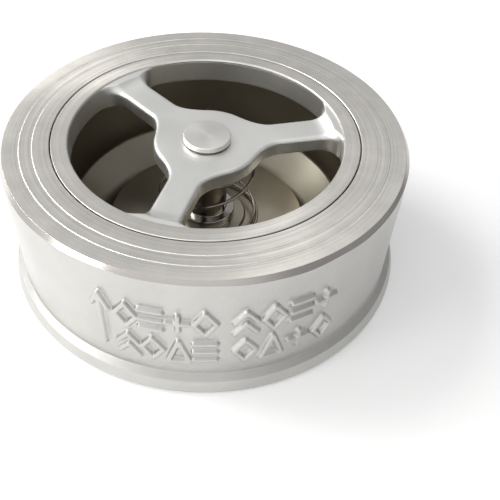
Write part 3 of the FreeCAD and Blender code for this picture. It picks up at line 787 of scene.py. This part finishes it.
def spring_path(steps):
    """Centreline of the spring from the disc up: a closed turn, working turns and a closed turn."""
    turns = np.linspace(0, SPRING_TURNS + 2 * SPRING_LEAD, steps)
    low, high = SPRING_LOW + WIRE_RADIUS, SPRING_HIGH - WIRE_RADIUS
    rise = np.clip((turns - SPRING_LEAD) / SPRING_TURNS, 0, 1)
    eased = rise - np.sin(2 * math.pi * rise) / (2 * math.pi) * SPRING_EASE
    closed = 2 * WIRE_RADIUS * CLOSED_PITCH * SPRING_LEAD
    first = np.clip(turns / SPRING_LEAD, 0, 1)
    last = np.clip((turns - SPRING_LEAD - SPRING_TURNS) / SPRING_LEAD, 0, 1)
    height = low + (first + last) * closed + eased * (high - low - 2 * closed)
    share = turns / turns[-1]
    radius = SPRING_WIDE + (SPRING_NARROW - SPRING_WIDE) * share
    angle = SPRING_PHASE + 2 * math.pi * turns
    return np.stack([radius * np.cos(angle), radius * np.sin(angle), height], -1)


def build_spring():
    steps, sides = 420, 14
    path = spring_path(steps)
    tangent = np.gradient(path, axis=0)
    tangent /= np.linalg.norm(tangent, axis=1)[:, None]
    outwards = path * [1, 1, 0]
    outwards /= np.linalg.norm(outwards, axis=1)[:, None]
    upwards = np.cross(tangent, outwards)
    upwards /= np.linalg.norm(upwards, axis=1)[:, None]
    outwards = np.cross(upwards, tangent)
    turn = even_angles(sides)
    ring = np.cos(turn)[None, :, None] * outwards[:, None] + np.sin(turn)[None, :, None] * upwards[:, None]
    points = (path[:, None] + WIRE_RADIUS * ring).reshape(-1, 3)
    faces = [face[::-1] for face in grid_faces(steps, sides, round_columns=False)]
    faces.append([side for side in reversed(range(sides))])
    faces.append([(steps - 1) * sides + side for side in range(sides)])
    piece = mesh_object("valve_spring", points, faces, BODY, [WIRE], sharp_angle=50)
    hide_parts("spring")
    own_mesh(piece)


def dress_lock_ring():
    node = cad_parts["spider_lock_ring"]
    node.data.materials.clear()
    node.data.materials.append(WIRE)


# ---------------------------------------------------------------- stage, light, camera

CAMERA_ELEVATION, CAMERA_ROLL = 45.34, 3.495
CAMERA_PLACE = Vector((10.48, -125.78, 124.61))
CAMERA_LENS = 52.98
FLOOR_HALF, FLOOR_DROP = 1.5, 0.00002          # metres


def build_floor():
    mesh = bpy.data.meshes.new("floor")
    half, z = FLOOR_HALF, -FLOOR_DROP
    corners = [(-half, -half, z), (half, -half, z), (half, half, z), (-half, half, z)]
    mesh.from_pydata(corners, [], [(0, 1, 2, 3)])
    mesh.materials.append(floor_material())
    floor = bpy.data.objects.new("floor", mesh)
    bpy.context.scene.collection.objects.link(floor)


def softbox(name, place, aim, size, power, colour=(1, 1, 1)):
    light = bpy.data.lights.new(name, "AREA")
    light.shape = "RECTANGLE"
    light.size, light.size_y = size
    light.energy = power
    light.color = colour
    lamp = bpy.data.objects.new(name, light)
    lamp.location = place
    lamp.rotation_euler = (Vector(aim) - Vector(place)).to_track_quat("-Z", "Y").to_euler()
    bpy.context.scene.collection.objects.link(lamp)


def build_light():
    """A room that is bright on the left, dimmer on the right and behind, and two soft lights on the left."""
    world = bpy.data.worlds.new("studio")
    world.use_nodes = True
    nodes, links = world.node_tree.nodes, world.node_tree.links
    place = nodes.new("ShaderNodeTexCoord")
    split = nodes.new("ShaderNodeSeparateXYZ")
    links.new(place.outputs["Generated"], split.inputs["Vector"])
    across = remap(nodes, links, split.outputs["X"], 1.0, 0.4, start=0.15, end=0.8)
    across.interpolation_type = "SMOOTHSTEP"
    behind = remap(nodes, links, split.outputs["Y"], 1.0, 0.6, start=0.15, end=0.85)
    behind.interpolation_type = "SMOOTHSTEP"
    both = nodes.new("ShaderNodeMath")
    both.operation = "MULTIPLY"
    links.new(across.outputs["Result"], both.inputs[0])
    links.new(behind.outputs["Result"], both.inputs[1])
    links.new(both.outputs["Value"], nodes["Background"].inputs["Color"])
    nodes["Background"].inputs["Strength"].default_value = 0.95
    bpy.context.scene.world = world
    softbox("key_left_back", (-1.25, 0.5, 1.2), (0, 0, 0.02), (0.9, 0.9), 19.0, (1.0, 0.985, 0.96))
    softbox("fill_front_left", (-0.72, -0.42, 0.36), (0, 0, 0.02), (0.3, 0.3), 1.7, (1.0, 0.985, 0.97))


def build_camera():
    lens = bpy.data.cameras.new("camera")
    lens.lens, lens.sensor_width = CAMERA_LENS, 36
    lens.clip_start, lens.clip_end = 0.005, 20
    camera = bpy.data.objects.new("camera", lens)
    elevation, roll = math.radians(CAMERA_ELEVATION), math.radians(CAMERA_ROLL)
    forward = Vector((0, math.cos(elevation), -math.sin(elevation)))
    right = Vector((1, 0, 0))
    up = right.cross(forward)
    turned_right = right * math.cos(roll) + up * math.sin(roll)
    turned_up = up * math.cos(roll) - right * math.sin(roll)
    frame_axes = Matrix((turned_right, turned_up, -forward)).transposed().to_4x4()
    camera.matrix_world = Matrix.Translation(CAMERA_PLACE * MM) @ frame_axes
    bpy.context.scene.collection.objects.link(camera)
    bpy.context.scene.camera = camera


build_camera()
build_floor()
build_light()
build_casting()
build_spider()
build_stem()
build_disc()
build_washer()
build_lock_washer()
build_nut()
build_spring()
dress_lock_ring()
bpy.context.scene.view_settings.view_transform = "Standard"
